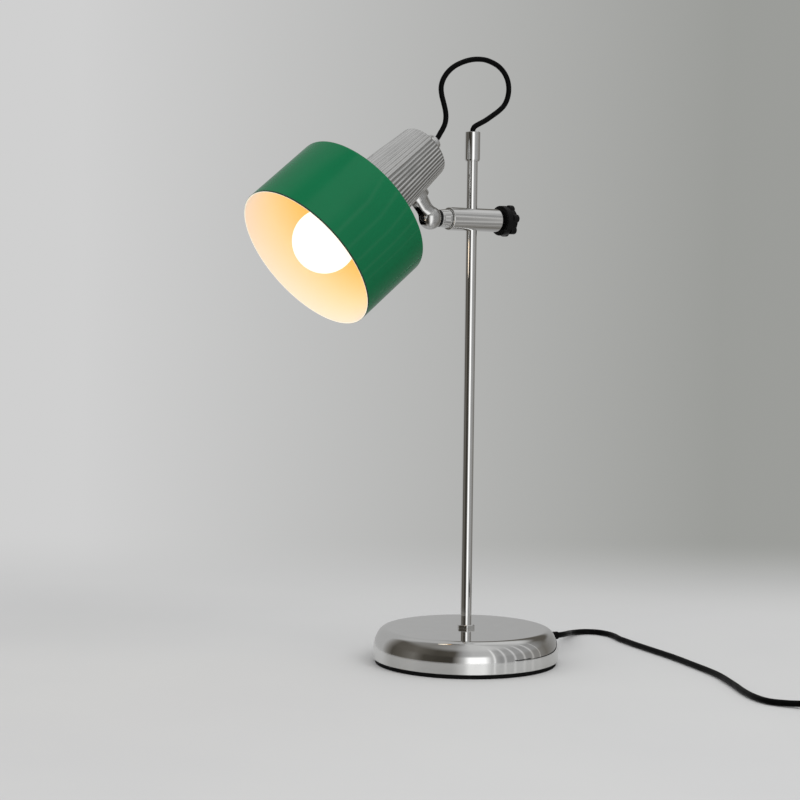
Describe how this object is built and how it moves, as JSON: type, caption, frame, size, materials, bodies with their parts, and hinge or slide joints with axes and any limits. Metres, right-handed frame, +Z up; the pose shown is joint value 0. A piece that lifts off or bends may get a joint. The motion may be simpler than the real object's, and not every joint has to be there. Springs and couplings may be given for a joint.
{
  "type": "adjustable desk lamp",
  "caption": "Desk lamp with a weighted round base, a slim stem, a sliding cross clamp with a star knob, and a drum shade on a tilting, rolling swivel behind a fluted cap.",
  "frame": {"origin": "middle of the base's underside, on the surface the lamp stands on", "axes": "+Z up along the stem, +X along the clamp barrel towards the star knob; the shade is on the minus X side and points down and away"},
  "size_m": [0.4924, 0.5027, 0.5545],
  "materials": {
    "chrome": "bright chrome plate",
    "fluted_metal": "polished, finely fluted",
    "shade_paint": "gloss green outside, cream white inside",
    "inner_paint": "satin cream white",
    "black_metal": "black oxide",
    "black_plastic": "moulded, semi-gloss",
    "black_rubber": "soft PVC, semi-matt",
    "pad_foam": "matt",
    "steel": "zinc plated",
    "iron": "as cast",
    "brass": "turned",
    "nylon": "natural",
    "holder_white": "moulded",
    "bulb_white": "frosted inside",
    "nickel": "nickel plate"
  },
  "bodies": {
    "stand": {"base_shell": "chrome", "base_weight": "iron", "base_pad": "pad_foam", "stem": "chrome", "foot_nut": "chrome", "under_washer": "steel", "under_nut": "steel", "stem_ferrule": "chrome", "ferrule_bush": "black_rubber", "inner_lead": "black_rubber", "cord_boot": "black_rubber", "mains_cord": "black_rubber", "switch_base": "black_plastic", "switch_cover": "black_plastic", "rocker_pin": "steel", "link_cord": "black_rubber", "cord_coil": "black_rubber", "coil_tie": "black_plastic", "tail_cord": "black_rubber", "plug_body": "black_rubber", "plug_pins": "nickel"},
    "lead_loop": {"loop_cord": "black_rubber"},
    "clamp": {"stem_liner": "nylon", "clamp_barrel": "chrome", "collar_screw": "steel"},
    "shoe": {"pressure_shoe": "brass"},
    "knob": {"clamp_screw": "steel", "star_knob": "black_plastic"},
    "collar": {"swivel_collar": "chrome", "friction_cup": "black_metal", "swivel_stud": "black_metal", "stud_nut": "steel"},
    "head": {"swivel_knuckle": "chrome", "tilt_pin": "steel", "knuckle_screws": "steel", "head_cap": "fluted_metal", "shade": "shade_paint", "shade_ring": "inner_paint", "lampholder": "holder_white", "thread_shell": "brass", "bulb_cap": "nickel", "bulb_globe": "bulb_white", "holder_nipple": "steel", "gland": "fluted_metal", "gland_bush": "black_rubber", "head_lead": "black_rubber"},
    "rocker": {"switch_rocker": "black_plastic"}
  },
  "joints": [
    {"name": "swing", "type": "hinge", "parent": "stand", "child": "lead_loop", "pos_m": [0, 0, 0.4066], "axis": [0, 0, 1], "range_deg": [-160, 160]},
    {"name": "height", "type": "slide", "parent": "lead_loop", "child": "clamp", "axis": [0, 0, 1], "range_m": [-0.1, 0.04], "deforming": ["loop_cord"]},
    {"name": "shoe_slide", "type": "slide", "parent": "clamp", "child": "shoe", "axis": [1, 0, 0], "range_m": [0, 0.0015]},
    {"name": "knob_turn", "type": "hinge", "parent": "shoe", "child": "knob", "pos_m": [0.03, 0, 0.4066], "axis": [1, 0, 0], "range_deg": [0, 540]},
    {"name": "head_roll", "type": "hinge", "parent": "clamp", "child": "collar", "pos_m": [-0.02, 0, 0.4066], "axis": [1, 0, 0], "range_deg": [-60, 60], "deforming": ["loop_cord"]},
    {"name": "head_tilt", "type": "hinge", "parent": "collar", "child": "head", "pos_m": [-0.047, 0, 0.4066], "axis": [0, 1, 0], "range_deg": [-50, 8], "deforming": ["loop_cord"]},
    {"name": "switch_rock", "type": "hinge", "parent": "stand", "child": "rocker", "pos_m": [0.14, -0.36764, 0.0114], "axis": [0.866, 0.5, 0], "range_deg": [0, 14]}
  ],
  "couplings": [
    {"joint": "knob_turn", "follows": "shoe_slide", "rad_per_m": 6283.2}
  ]
}
